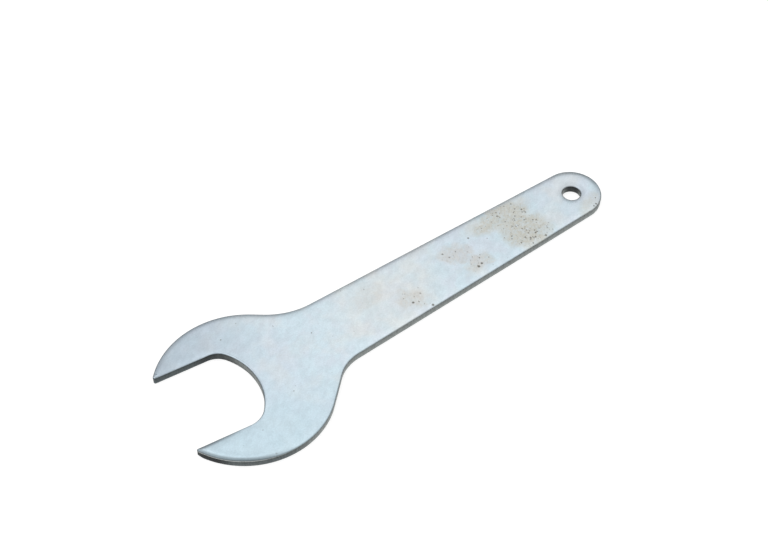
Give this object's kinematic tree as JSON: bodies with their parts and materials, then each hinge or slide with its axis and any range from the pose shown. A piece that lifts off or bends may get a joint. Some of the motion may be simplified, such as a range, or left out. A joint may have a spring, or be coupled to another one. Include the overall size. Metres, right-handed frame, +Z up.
{
  "type": "open-end spanner",
  "caption": "Flat open-end spanner pressed from zinc-plated steel sheet, with an angled jaw, a tapered handle and a hanging hole.",
  "frame": {"origin": "where the jaw's centre line crosses the handle's centre line, on the underside", "axes": "+X along the handle to the hanging hole, +Y towards the upper jaw, +Z up through the sheet's thickness"},
  "size_m": [0.1689, 0.0571, 0.003],
  "materials": {
    "zinc_plated_steel": "satin zinc plate with a clear bluish passivate, mottled, with a few beige stains and dark specks, and darker sheared edges"
  },
  "bodies": {
    "root": {"spanner": "zinc_plated_steel"}
  },
  "joints": []
}
